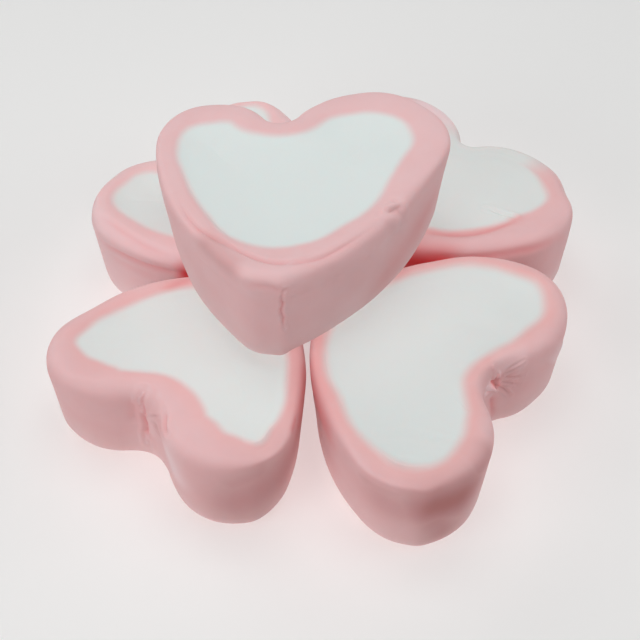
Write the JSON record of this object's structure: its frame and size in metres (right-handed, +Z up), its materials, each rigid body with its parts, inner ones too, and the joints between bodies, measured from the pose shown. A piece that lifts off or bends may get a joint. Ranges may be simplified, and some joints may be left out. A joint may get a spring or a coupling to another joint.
{
  "type": "heart-shaped marshmallows",
  "caption": "Heap of soft heart-shaped marshmallows, pink skins round white centres, flat ones in a ring with tips to the middle and another lying on top",
  "frame": {"origin": "middle of the heap's footprint, on the surface it lies on", "axes": "+Z up; the top marshmallow's tip points to -Y, and +X is to its right"},
  "size_m": [0.0682, 0.072, 0.03],
  "materials": {
    "pink_foam": "matt sugar foam dusted with starch, pale pink",
    "white_foam": "matt sugar foam dusted with starch, white"
  },
  "bodies": {
    "root": {"top_shell": "pink_foam", "top_core": "white_foam", "front_left_shell": "pink_foam", "front_left_core": "white_foam", "front_right_shell": "pink_foam", "front_right_core": "white_foam", "back_left_shell": "pink_foam", "back_left_core": "white_foam", "back_right_shell": "pink_foam", "back_right_core": "white_foam"}
  },
  "joints": []
}
